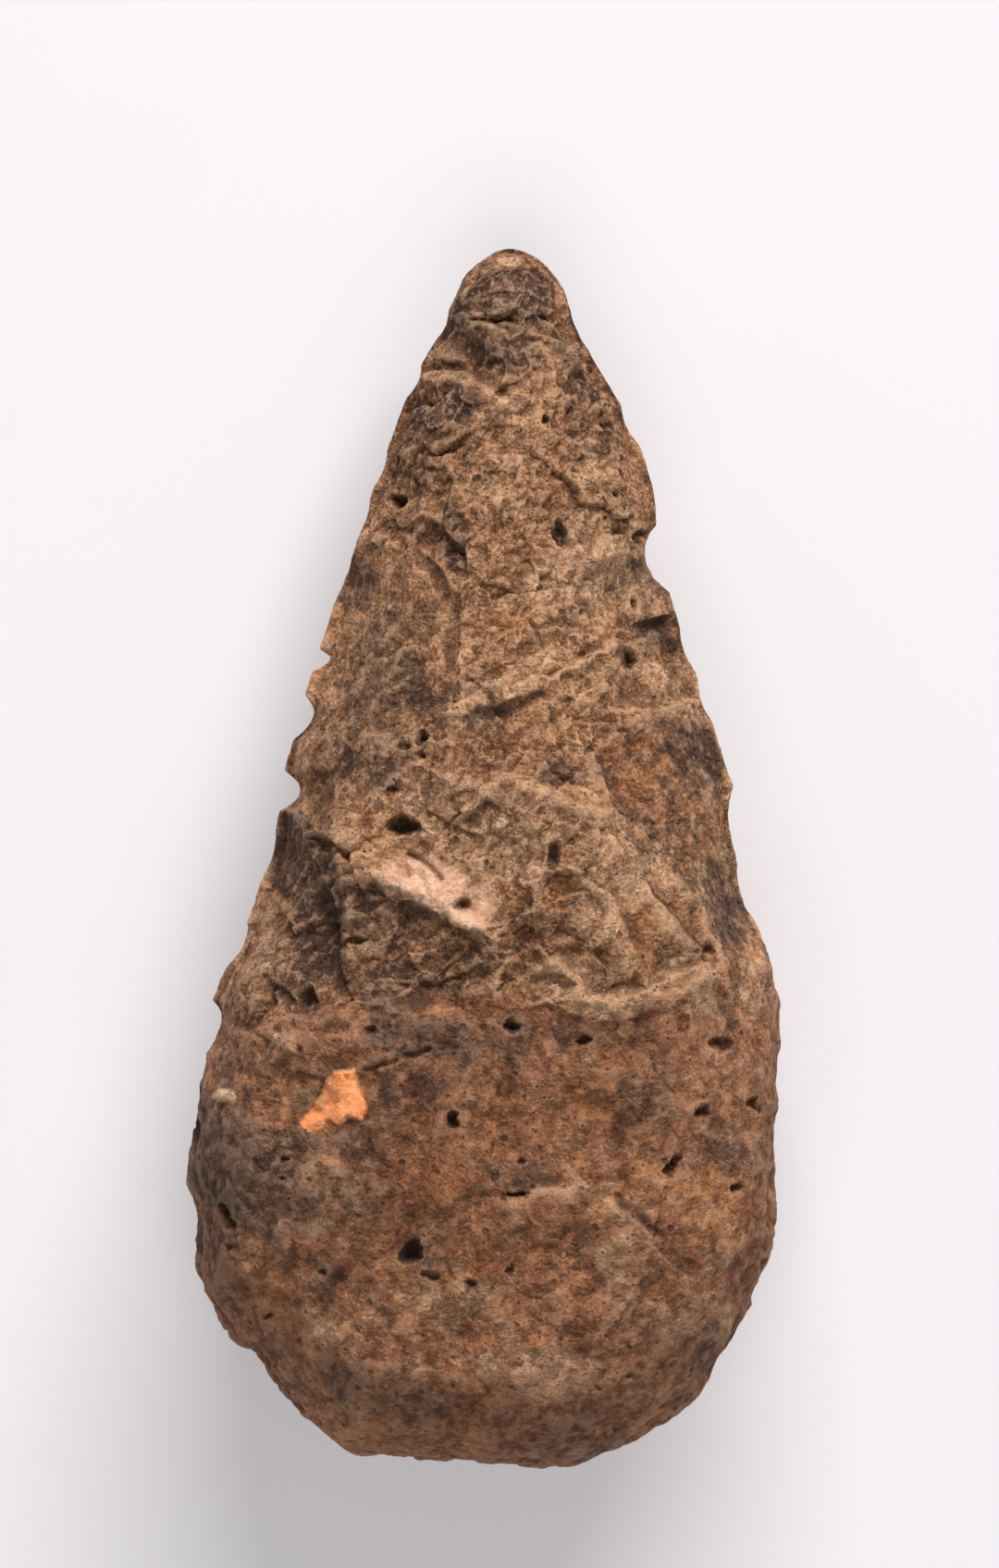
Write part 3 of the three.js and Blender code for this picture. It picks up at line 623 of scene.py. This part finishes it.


# ---- masks on the finished skin

# Where each named patch is likely, by its mask: x, y, half length, half width, turn in degrees, strength.
# Warm and ash patches are stains of the stone; dark patches are partly its dark stains and partly painted
# shade on walls, steps and faces turned from the light, and pale patches partly its pale stone and partly
# painted highlight on lit ledges.
PATCHES = {"dark": [
    (4, 83, 8, 5, 0, 1.8), (3, 79, 9, 3, 0, 0.8), (-4, 80, 5, 3, 60, 1.0), (3, 75, 9, 5, 0, 0.8),
    (-6, 66, 7, 6, 20, 0.8), (13, 72, 6, 9, 20, 0.6), (-10, 59, 4, 8, 0, 0.6), (-15, 26, 8, 12, 0, 0.5),
    (5, -28, 16, 7, 0, 0.6), (17, 66, 5, 5, 0, 0.4), (-12, 57, 4, 4, 0, 0.6), (-4.5, 47, 3, 7, 10, 0.7),
    (-12, 37, 5, 6, 0, 0.6), (-17, 33, 5, 4, 0, 0.7), (-11, 23, 5, 4, 0, 0.6), (-18, 13, 9, 4, 165, 0.8),
    (28, 33, 7, 4, 0, 0.7), (31, 15, 5, 9, 15, 0.8), (24, 9, 6, 10, 20, 0.4), (2, 20, 7, 3, 0, 0.4),
    (-28, 0, 5, 8, 10, 2.2), (-24, -8, 5, 13, 5, 1.6), (-14, -9, 8, 7, 150, 0.8), (-4, -16, 8, 5, 0, 0.6),
    (-26, -19, 7, 6, 0, 0.7), (35, -7, 4, 9, 20, 0.6), (-37, -23, 5, 4, 0, 0.7),
    (-36, -45, 10, 9, 0, 1.8), (-36, -36, 9, 4, 0, 0.7), (-29, -52, 10, 6, 0, 0.6),
    (-25, -60, 7, 5, 0, 0.5), (-39, -55, 5, 6, 0, 0.6), (-8, -79, 7, 6, 0, 0.5), (13, -82, 7, 5, 0, 0.5),
    (16, -87, 9, 4, 0, 0.5), (-19, -76, 8, 6, 0, 0.4), (34, -72, 6, 8, 50, 0.5), (5, -46, 7, 4, 0, 0.7),
    (24, -33, 6, 7, 0, 0.5), (36, -39, 6, 5, 0, 0.4), (22, -53, 5, 2.5, 140, 0.6), (1, -64, 5, 4, 0, 0.4),
    (-16, -46, 7, 6, 0, 0.3), (-11, -34, 7, 5, 0, 0.7), (38, -65, 4, 6, 0, 0.2), (-13, -19, 7, 6, 0, 1.1),
    (-10, -26, 10, 4, 0, 1.2), (-32, -42, 10, 4, 0, 1.2), (-19, -41, 6, 4, 0, 0.7),
    (-19, 40, 4, 6, 0, 0.9), (14, 14, 9, 4, 20, 0.5), (36, -9, 4, 5, 0, 0.9), (37, -41, 5, 6, 0, 0.6),
], "warm": [
    (-7, 70, 3, 2, 60, 0.5), (7, 45, 6, 5, 0, 0.4), (5, 36, 7, 6, 0, 0.4), (20, 13, 12, 7, 20, 0.7),
    (8, 16, 10, 6, 0, 0.5), (28, 4, 8, 7, 0, 0.6), (21, -12, 7, 9, 30, 0.9), (12, -6, 6, 5, 0, 0.6),
    (14, -32, 6, 7, 0, 0.8), (16, -37, 4, 4, 0, 1.0), (24, -46, 4, 4, 0, 0.8), (-2, -60, 5, 5, 0, 0.9),
    (35, -52, 7, 10, 0, 0.8), (27, -62, 9, 5, 0, 0.7), (22, -57, 4, 5, 0, 0.8), (-17, -85, 8, 4, 20, 0.8),
    (4, -76, 10, 6, 0, 0.5), (-8, -47, 8, 8, 0, 0.5), (-28, -28, 7, 4, 0, 0.5), (2, -38, 8, 5, 0, 0.5),
    (-32, -62, 6, 5, 0, 0.4), (-12, -62, 6, 6, 0, 0.4), (12, -56, 8, 6, 0, 0.5), (-24, 26, 3, 3, 0, 0.8),
    (0, -74, 14, 7, 0, 0.5),
], "pale": [
    (2, 88, 5, 2.5, 0, 0.8), (-6, 74, 5, 2, 15, 0.9), (11, 74, 3, 4, 60, 0.6), (5, 65, 5, 5, 0, 0.5),
    (3, 55, 9, 6, 0, 0.6), (16, 55, 6, 5, 0, 0.5), (16, 46, 10, 6, 30, 1.3), (25, 38, 5, 3, 0, 1.6),
    (14, 35, 7, 4, 0, 0.6), (6, 27, 11, 3, 30, 0.7), (25, 26, 6, 3, 120, 0.6), (-24, 25, 4, 4, 0, 0.8),
    (-19, 6, 6, 3, 0, 0.5), (5, 9, 9, 2.5, 0, 0.7), (16, 6, 6, 3, 120, 0.6), (15, -19, 10, 5, 160, 2.4),
    (28, -17, 7, 3, 20, 2.0), (17, -7, 6, 6, 0, 1.4), (-30, -15, 6, 6, 0, 0.6),
    (35, -21, 8, 4, 0, 0.5), (-34, -12, 5, 9, 20, 0.6), (25, -8, 9, 4, 110, 0.5),
    (-29, -28, 6, 5, 0, 0.4), (5, -75, 8, 5, 0, 0.6), (-7, -74, 6, 4, 0, 0.5), (12, -49, 5, 2, 0, 0.6),
    (34, -56, 5, 6, 0, 0.4), (-22, -68, 9, 6, 0, 0.6), (24, -76, 9, 6, 0, 0.5), (-38, -34, 4, 2, 0, 0.6),
    (-4, 1, 8, 5, 150, 0.5), (-5, 8, 8, 5, 0, 2.2), (22, -1, 8, 7, 110, 1.5), (4, 1, 8, 6, 0, 1.6),
    (29, 24, 5, 6, 0, 1.3), (12, 40, 8, 5, 0, 1.1), (-5, -64, 9, 6, 0, 0.7), (10, -75, 9, 5, 0, 1.1),
    (33, -67, 6, 5, 0, 0.7), (20, -58, 5, 5, 0, 0.7), (0, 23, 9, 4, 20, 1.3),
], "ash": [
    (22, 42, 9, 6, 0, 0.9), (15, 62, 9, 6, 0, 0.5), (-14, 28, 8, 10, 0, 0.7), (-16, 17, 8, 6, 0, 0.6),
    (28, 33, 7, 5, 0, 0.7), (33, 0, 6, 9, 0, 0.6), (34, -20, 9, 4, 0, 0.6), (28, -14, 6, 4, 0, 0.7),
    (-26, -50, 11, 7, 0, 0.7), (-16, -78, 9, 6, 0, 0.5), (-38, -46, 6, 9, 0, 0.6), (4, 83, 7, 5, 0, 0.5),
    (-27, -35, 5, 4, 0, 0.8), (6, -66, 7, 5, 0, 0.3), (-16, 47, 5, 5, 0, 0.4), (22, -70, 8, 6, 0, 0.3),
]}
# A pit this deep is wholly dark with painted shade; crumbs and humps this high run from low and painted in
# shade to high and rubbed. Millimetres.
PIT_SHADE_FROM = 1.6
CRUMB_HEIGHT, HUMP_HEIGHT = 0.20, 1.2


def patch_strength(x, y, patches):
    """How likely a patch's tint is at a place: the strongest of the patches, each an oval that fades
    outwards.
    """
    strongest = np.zeros_like(x)
    for *shape, strength in patches:
        strongest = np.maximum(strongest, strength * smooth_step(0, 0.8, oval(x, y, shape)))
    return strongest


def mean_of_neighbours(values, edges, turns):
    """Each point's values become the mean of its neighbours', turns times over."""
    first, second = edges.T
    count = np.bincount(edges.ravel(), minlength=len(values))[:, None]
    for _ in range(turns):
        total = np.stack([np.bincount(first, column[second], len(values))
                          + np.bincount(second, column[first], len(values)) for column in values.T], 1)
        values = total / count
    return values


def standing_out(place, normals, edges, turns):
    """How far each point stands out of its smoothed surroundings, along its normal."""
    return np.sum((place - mean_of_neighbours(place, edges, turns)) * normals, axis=1)


def mark_skin(mesh):
    """Stores the masks that the stone's material reads, each worked out from where a point lies."""
    count = len(mesh.vertices)
    place, normals, edges = np.zeros(count * 3), np.zeros(count * 3), np.zeros(len(mesh.edges) * 2, int)
    mesh.vertices.foreach_get("co", place)
    mesh.vertex_normals.foreach_get("vector", normals)
    mesh.edges.foreach_get("vertices", edges)
    points, normals, edges = place.reshape(-1, 3) / MM, normals.reshape(-1, 3), edges.reshape(-1, 2)
    x, y = points[:, 0], points[:, 1]
    s, distance = to_rib(x, y)
    rho = distance / (whole_reach(s) * chipped_share(s))
    on_face = points[:, 2] > edge_height(s, y, np.minimum(rho, 1))
    face_only = np.where(on_face, smooth_step(1.0, 0.93, rho), 0)
    wander = layered(rough, points, [(0.5, 9, 31), (0.35, 3, 32), (0.2, 1.2, 33)])
    # Painted shade along the cracks and the grooves at the feet of steps, a little uneven.
    groove_shade = (0.45 + 0.25 * rough(points, 3, 35)) * line_marks(x + 0.8 * wander, y + 0.8 * wander, CRACKS)
    break_away = line_distance(x + 2 * wander, y + 3 * wander, CREAM_BREAK)
    patchy = 0.95 + layered(rough, points, [(0.45, 2.2, 36), (0.35, 0.9, 37)])
    crumbs = standing_out(points, normals, edges, 3)
    humps = standing_out(points, normals, edges, 30)
    masks = {
        "rind": cortex_share(x, y, points, on_face),
        # Painted shade in the pits and along the cracks and grooves.
        "hole_shade": face_only * np.clip(pit_depth(points) / PIT_SHADE_FROM + groove_shade, 0, 1),
        "cream": face_only * inside(x + 1.6 * wander, y + 0.8 * wander, CREAM_CHIP, 0.9)
        * smooth_step(10.0, 4.5, break_away) * np.clip(patchy, 0, 1),
        "orange": face_only * inside(x, y, ORANGE_CHIP, 0.25),
        "grain": face_only * np.clip(sum(oval(x, y, shape) for *shape, _ in GRAINS) * 6, 0, 1),
        # How far a point stands out: high crumbs and humps are rubbed paler, low ones are painted in shade.
        "stands_out": (0.7 * np.clip(0.5 + crumbs / CRUMB_HEIGHT, 0, 1)
                 + 0.3 * np.clip(0.5 + humps / HUMP_HEIGHT, 0, 1)),
        # Painted highlight along the named crests.
        "crest": face_only * np.clip(0.7 + 0.8 * rough(points, 6, 34), 0, 1)
        * crest_highlight_line(x + 0.6 * wander, y + 0.6 * wander),
    }
    masks.update({name: patch_strength(x, y, patches) for name, patches in PATCHES.items()})
    for name, values in masks.items():
        mesh.attributes.new(name, "FLOAT", "POINT").data.foreach_set("value", values.astype(np.float32))


# ---- materials

# Browns, each as its dark, middle and light tone.
BREAK_BROWNS = ((0.070, 0.025, 0.010), (0.280, 0.120, 0.055), (0.70, 0.38, 0.19))
RIND_BROWNS = ((0.060, 0.022, 0.011), (0.240, 0.092, 0.042), (0.62, 0.27, 0.12))
SLATE_BROWNS = ((0.035, 0.018, 0.011), (0.125, 0.064, 0.040), (0.32, 0.18, 0.11))
TAN_BROWNS = ((0.140, 0.058, 0.024), (0.400, 0.178, 0.080), (0.80, 0.42, 0.20))
CREAM = ((0.42, 0.21, 0.12), (0.61, 0.34, 0.21), (0.84, 0.55, 0.39))
ORANGE = ((0.72, 0.22, 0.07), (0.95, 0.33, 0.115), (1.00, 0.50, 0.24))
# Tints of the named patches: mask, blots to a metre, how far the mask helps a blot, share of the tint,
# browns.
# The dark tint is partly painted shade and the pale one partly painted highlight.
PATCH_TINTS = [
    ("warm", 140.0, 0.32, 0.85, ((0.120, 0.040, 0.014), (0.340, 0.130, 0.048), (0.62, 0.30, 0.13))),
    ("ash", 160.0, 0.32, 0.85, ((0.060, 0.033, 0.018), (0.205, 0.112, 0.058), (0.48, 0.295, 0.165))),
    ("pale", 170.0, 0.30, 0.80, ((0.170, 0.080, 0.040), (0.470, 0.245, 0.128), (0.85, 0.54, 0.33))),
    ("dark", 150.0, 0.34, 0.90, ((0.020, 0.009, 0.006), (0.080, 0.037, 0.024), (0.25, 0.13, 0.078))),
]
# Rubbed wear on what stands out, a painted highlight along the named crests and the pale grains' colour;
# then painted shade in the hollows, the grain's dark specks and painted shade in the pits.
RUBBED, CREST_PAINTED_HIGHLIGHT, PALE_GRAIN = (0.70, 0.43, 0.26, 1), (0.88, 0.52, 0.29, 1), (0.76, 0.48, 0.29, 1)
HOLLOW_PAINTED_SHADE, SPECK_DARK = (0.030, 0.014, 0.009, 1), (0.025, 0.012, 0.008, 1)
HOLE_PAINTED_SHADE = (0.020, 0.010, 0.006, 1)
# Metres: how far the splinters' borders wander, and how deep the grain is.
WANDER_BY = 0.0007
GRAIN_DEPTH = 0.0012


def add(tree, kind, inputs=None, **settings):
    """A node of that kind with its settings, each input linked to a socket or set to a value."""
    node = tree.nodes.new(kind)
    for key, value in settings.items():
        setattr(node, key, value)
    for key, value in (inputs or {}).items():
        if isinstance(value, bpy.types.NodeSocket):
            tree.links.new(value, node.inputs[key])
        else:
            node.inputs[key].default_value = value
    return node


def mixed(tree, share, first, second):
    """The colour between two colours by a share."""
    node = add(tree, "ShaderNodeMix", {0: share, 6: first, 7: second}, data_type="RGBA", clamp_factor=True)
    return node.outputs[2]


def worked(tree, operation, first, second=0.0):
    """A Math node's value."""
    return add(tree, "ShaderNodeMath", {0: first, 1: second}, operation=operation).outputs[0]


def ramped(tree, value, stops):
    """A colour ramp through (position, colour) stops."""
    node = add(tree, "ShaderNodeValToRGB", {"Fac": value})
    ramp = node.color_ramp
    while len(ramp.elements) < len(stops):
        ramp.elements.new(0.5)
    for element, (position, colour) in zip(ramp.elements, stops):
        element.position = position
        element.color = colour
    return node.outputs["Color"]


def eased_between(tree, value, low, high):
    """0 at low, 1 at high, eased."""
    node = add(tree, "ShaderNodeMapRange", {"Value": value, "From Min": low, "From Max": high},
               interpolation_type="SMOOTHSTEP")
    return node.outputs["Result"]


def times(tree, first, second):
    """The product of two values."""
    return worked(tree, "MULTIPLY", first, second)


def total_of(tree, first, *others):
    """The sum of the values."""
    total = first
    for value in others:
        total = worked(tree, "ADD", total, value)
    return total


def clouds(tree, place, per_metre):
    """Cloudy noise about so many blots to a metre."""
    return add(tree, "ShaderNodeTexNoise", {"Vector": place, "Scale": per_metre, "Detail": 3.0,
                                            "Roughness": 0.6}).outputs


def cells(tree, place, per_metre):
    """Cells round scattered points, so many to a metre."""
    return add(tree, "ShaderNodeTexVoronoi", {"Vector": place, "Scale": per_metre,
                                              "Randomness": 1.0}).outputs


def vector_worked(tree, operation, first, second):
    """A Vector Math node's outputs."""
    return add(tree, "ShaderNodeVectorMath", {0: first, 1: second}, operation=operation).outputs


def opened(tree, taken, given_back):
    """The sockets of a node group that takes a place and some values, and gives values back."""
    tree.interface.new_socket("Place", in_out="INPUT", socket_type="NodeSocketVector")
    for names, way in ((taken, "INPUT"), (given_back, "OUTPUT")):
        for name in names:
            tree.interface.new_socket(name, in_out=way, socket_type="NodeSocketFloat")
    return add(tree, "NodeGroupInput").outputs


def mottle_group():
    """Ragged blots: cloudy noise of a given size plus a bias, cut to a mask between two levels."""
    tree = bpy.data.node_groups.new("mottle", "ShaderNodeTree")
    given = opened(tree, ("Per Metre", "Bias", "Low", "High"), ("Mask",))
    noise = add(tree, "ShaderNodeTexNoise", {"Vector": given["Place"], "Scale": given["Per Metre"],
                                             "Detail": 4.0, "Roughness": 0.66, "Distortion": 0.5})
    biased = worked(tree, "ADD", noise.outputs["Fac"], given["Bias"])
    add(tree, "NodeGroupOutput", {"Mask": eased_between(tree, biased, given["Low"], given["High"])})
    return tree


def splinters(tree, place, per_metre):
    """Height of tilted splinters: in each cell a plane that leans its own random way, the dot product
    of the offset from the cell's middle and the lean. The lean comes from the cell's random colour."""
    cell = cells(tree, place, per_metre)
    offset = vector_worked(tree, "SUBTRACT", place, cell["Position"])["Vector"]
    lean = vector_worked(tree, "SUBTRACT", cell["Color"], (0.5, 0.5, 0.5))["Vector"]
    return times(tree, vector_worked(tree, "DOT_PRODUCT", offset, lean)["Value"], per_metre), cell["Color"]


def channel(tree, colour, name):
    """One channel of a colour."""
    return add(tree, "ShaderNodeSeparateColor", {"Color": colour}).outputs[name]


def grain_group():
    """The stone's own grain: a shade of grit and splinters' tints, rare dark specks and small pores,
    and the height of splinters of two sizes and grit, less the specks."""
    tree = bpy.data.node_groups.new("grain", "ShaderNodeTree")
    place = opened(tree, (), ("Shade", "Specks", "Height"))["Place"]
    wander = clouds(tree, place, 700.0)
    shift = add(tree, "ShaderNodeVectorMath", {0: wander["Color"], "Scale": WANDER_BY}, operation="SCALE")
    crooked = vector_worked(tree, "ADD", place, shift.outputs["Vector"])["Vector"]
    drawn = add(tree, "ShaderNodeMapping", {"Vector": crooked,
                                            "Rotation": (0, 0, math.radians(-SPLINTER_TURN)),
                                            "Scale": (1 / SPLINTER_STRETCH, 1, 1)}).outputs["Vector"]
    large, _ = splinters(tree, drawn, 520.0)
    small, tints = splinters(tree, drawn, 1500.0)
    grit = clouds(tree, place, 2100.0)["Fac"]
    shade = total_of(tree, times(tree, grit, 0.65), times(tree, channel(tree, tints, "Red"), 0.10),
                     times(tree, wander["Fac"], 0.30))
    pores = cells(tree, crooked, 300.0)
    pore = times(tree, eased_between(tree, pores["Distance"], 0.19, 0.10),
                 eased_between(tree, channel(tree, pores["Color"], "Green"), 0.45, 0.75))
    speck = times(tree, eased_between(tree, cells(tree, crooked, 800.0)["Distance"], 0.24, 0.12),
                  eased_between(tree, wander["Fac"], 0.50, 0.60))
    dark = worked(tree, "MAXIMUM", speck, pore)
    height = total_of(tree, times(tree, large, 2.3), times(tree, small, 0.7), times(tree, grit, 0.45),
                      times(tree, dark, -0.45))
    add(tree, "NodeGroupOutput", {"Shade": shade, "Specks": dark, "Height": height})
    return tree


def blank_material(name):
    """A new node material: its tree, its shader and the object coordinates."""
    material = bpy.data.materials.new(name)
    material.use_nodes = True
    tree = material.node_tree
    shader = tree.nodes["Principled BSDF"]
    return material, tree, shader, add(tree, "ShaderNodeTexCoord").outputs["Object"]


def grouped(tree, group, inputs):
    """What a node group puts out, given its inputs."""
    return add(tree, "ShaderNodeGroup", inputs, node_tree=group).outputs


def stone_material(mottle, grain):
    """Brown stone: breaks and rind in browns of their own, tinted in named patches, of which the dark ones
    are partly painted shade and the pale ones partly painted highlight; paler where it stands out and
    rubbed, painted shade in the hollows, a painted highlight along the named crests, then the inlays and
    painted shade in the pits; grainy all over."""
    material, tree, shader, place = blank_material("brown_stone")
    mask = {name: add(tree, "ShaderNodeAttribute", attribute_name=name).outputs["Fac"]
            for name in ("rind", "hole_shade", "cream", "orange", "grain", "dark", "warm", "pale", "ash", "stands_out",
                         "crest")}

    def scaled(value, by):
        return times(tree, value, by)

    def blots(per_metre, low, high, bias=0.0):
        return grouped(tree, mottle, {"Place": place, "Per Metre": per_metre, "Bias": bias, "Low": low,
                                      "High": high})["Mask"]

    def browns(dark, middle, light):
        return ramped(tree, tone, [(0.05, (*dark, 1)), (0.5, (*middle, 1)), (0.95, (*light, 1))])

    grit = grouped(tree, grain, {"Place": place})
    contrast = worked(tree, "SUBTRACT", 2.1, scaled(mask["rind"], 0.8))
    tone = total_of(tree, times(tree, worked(tree, "SUBTRACT", grit["Shade"], 0.5), contrast),
                    scaled(blots(45.0, 0.35, 0.65), 0.20), scaled(blots(300.0, 0.38, 0.62), 0.14), 0.34)
    colour = mixed(tree, mask["rind"], browns(*BREAK_BROWNS), browns(*RIND_BROWNS))
    on_rind = scaled(mask["rind"], 0.60)
    colour = mixed(tree, times(tree, blots(110.0, 0.49, 0.66), on_rind), colour, browns(*SLATE_BROWNS))
    colour = mixed(tree, times(tree, blots(150.0, 0.50, 0.68), on_rind), colour, browns(*TAN_BROWNS))
    # The named patches; dark ones are partly painted shade, pale ones partly painted highlight.
    for name, per_metre, reach, share, shades in PATCH_TINTS:
        ragged = blots(per_metre, 0.57, 0.82, bias=scaled(mask[name], reach))
        colour = mixed(tree, scaled(ragged, share), colour, browns(*shades))
    stands_out = eased_between(tree, mask["stands_out"], 0.55, 0.95)
    # Painted shade where the surface lies low among its neighbours.
    hollow_painted_shade = eased_between(tree, mask["stands_out"], 0.45, 0.10)
    rubbed = times(tree, stands_out, worked(tree, "SUBTRACT", 0.32, scaled(mask["rind"], 0.14)))
    # Rubbed wear, painted highlight on the crests, painted shade in the hollows, dark specks, the inlays,
    # pale grains and painted shade in the pits.
    for share, tint in ((rubbed, RUBBED), (scaled(mask["crest"], 0.40), CREST_PAINTED_HIGHLIGHT),
                        (scaled(hollow_painted_shade, 0.4), HOLLOW_PAINTED_SHADE), (scaled(grit["Specks"], 0.6), SPECK_DARK),
                        (mask["cream"], browns(*CREAM)), (mask["orange"], browns(*ORANGE)),
                        (scaled(mask["grain"], 0.85), PALE_GRAIN), (scaled(mask["hole_shade"], 0.85), HOLE_PAINTED_SHADE)):
        colour = mixed(tree, share, colour, tint)
    tree.links.new(colour, shader.inputs["Base Color"])
    tree.links.new(worked(tree, "SUBTRACT", 0.95, scaled(stands_out, 0.2)), shader.inputs["Roughness"])
    shader.inputs["Specular IOR Level"].default_value = 0.35
    smooth = scaled(worked(tree, "MAXIMUM", mask["cream"], mask["orange"]), 0.75)
    height = times(tree, grit["Height"], worked(tree, "SUBTRACT", 1.0, smooth))
    bump = add(tree, "ShaderNodeBump", {"Height": height, "Strength": 1.0, "Distance": GRAIN_DEPTH})
    tree.links.new(bump.outputs["Normal"], shader.inputs["Normal"])
    return material


def floor_material(mottle):
    """Matt paper with a breath of lilac, glowing faintly of its own as on a light table: painted light that
    pales the stone's shadow.
    """
    material, tree, shader, place = blank_material("pale_paper")
    faint = grouped(tree, mottle, {"Place": place, "Per Metre": 6.0, "Bias": 0.0, "Low": 0.2,
                                   "High": 0.8})["Mask"]
    tree.links.new(mixed(tree, faint, (0.73, 0.71, 0.735, 1), (0.75, 0.73, 0.75, 1)),
                   shader.inputs["Base Color"])
    shader.inputs["Roughness"].default_value = 0.9
    shader.inputs["Specular IOR Level"].default_value = 0.1
    # Painted light: the paper glows faintly of its own, which pales the stone's shadow on it.
    shader.inputs["Emission Color"].default_value = (1.0, 0.975, 1.0, 1)
    shader.inputs["Emission Strength"].default_value = 0.18
    return material


# ---- pieces

def lay_stone(material):
    """The stone's skin, thinned, marked and finished, in place of the solid."""
    skin = bpy.data.objects.new("knapped_stone", closed(skin_mesh("knapped_stone"), SAME_POINT))
    bpy.context.scene.collection.objects.link(skin)
    thin(skin, MOST_TRIANGLES)
    mark_skin(skin.data)
    skin.data.shade_smooth()
    skin.data.materials.append(material)
    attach(skin, "root")
    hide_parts(NODE)


def lay_floor(material):
    """One square of floor under the stone, far wider than the view."""
    half = 3.0
    corners = [(-half, -half, 0), (half, -half, 0), (half, half, 0), (-half, half, 0)]
    mesh = bpy.data.meshes.new("floor")
    mesh.from_pydata(corners, [], [(0, 1, 2, 3)])
    mesh.materials.append(material)
    floor = bpy.data.objects.new("floor", mesh)
    bpy.context.scene.collection.objects.link(floor)


STONE_MIDDLE = (0, 0, 0.02)


def hang_light(name, place, wide, deep, watts, colour):
    """An oblong soft light at a place, turned to the stone with its width level."""
    lamp = bpy.data.lights.new(name, "AREA")
    lamp.shape = "RECTANGLE"
    lamp.size = wide
    lamp.size_y = deep
    lamp.energy = watts
    lamp.color = colour
    light = bpy.data.objects.new(name, lamp)
    light.location = place
    aim = np.array(STONE_MIDDLE) - np.array(place)
    tilt = math.acos(-aim[2] / np.linalg.norm(aim))
    light.rotation_euler = (tilt, 0, math.atan2(aim[1], aim[0]) - math.pi / 2)
    bpy.context.scene.collection.objects.link(light)


def light_stage():
    """A soft key beyond the tip, a broad fill above the butt's side and a dim pale surround."""
    hang_light("key", (0.44, 1.96, 1.24), wide=2.0, deep=0.6, watts=72.0, colour=(1.0, 0.985, 0.97))
    hang_light("fill", (0.00, -0.60, 1.10), wide=1.2, deep=1.0, watts=5.8, colour=(0.98, 0.98, 1.0))
    world = bpy.data.worlds.new("surround")
    world.use_nodes = True
    world.node_tree.nodes["Background"].inputs["Color"].default_value = (0.97, 0.96, 1.0, 1)
    world.node_tree.nodes["Background"].inputs["Strength"].default_value = 0.15
    bpy.context.scene.world = world


def place_camera():
    """A long lens straight above, picture's top towards the tip, framed on the level of the edge."""
    lens, sensor = 200.0, 36.0
    view_height, middle_x, middle_y = 0.232, 0.0023, 0.0107
    camera = bpy.data.cameras.new("camera")
    camera.lens = lens
    camera.sensor_width = sensor
    camera.sensor_fit = "AUTO"
    camera.clip_start = 0.05
    above = bpy.data.objects.new("camera", camera)
    edge_level = (EDGE_AT_BUTT + EDGE_AT_TIP) / 2 * MM
    above.location = (middle_x, middle_y, edge_level + view_height * lens / sensor)
    bpy.context.scene.collection.objects.link(above)
    bpy.context.scene.camera = above


def main():
    mottle, grain = mottle_group(), grain_group()
    lay_stone(stone_material(mottle, grain))
    lay_floor(floor_material(mottle))
    light_stage()
    place_camera()
    bpy.context.scene.view_settings.view_transform = "Standard"


main()
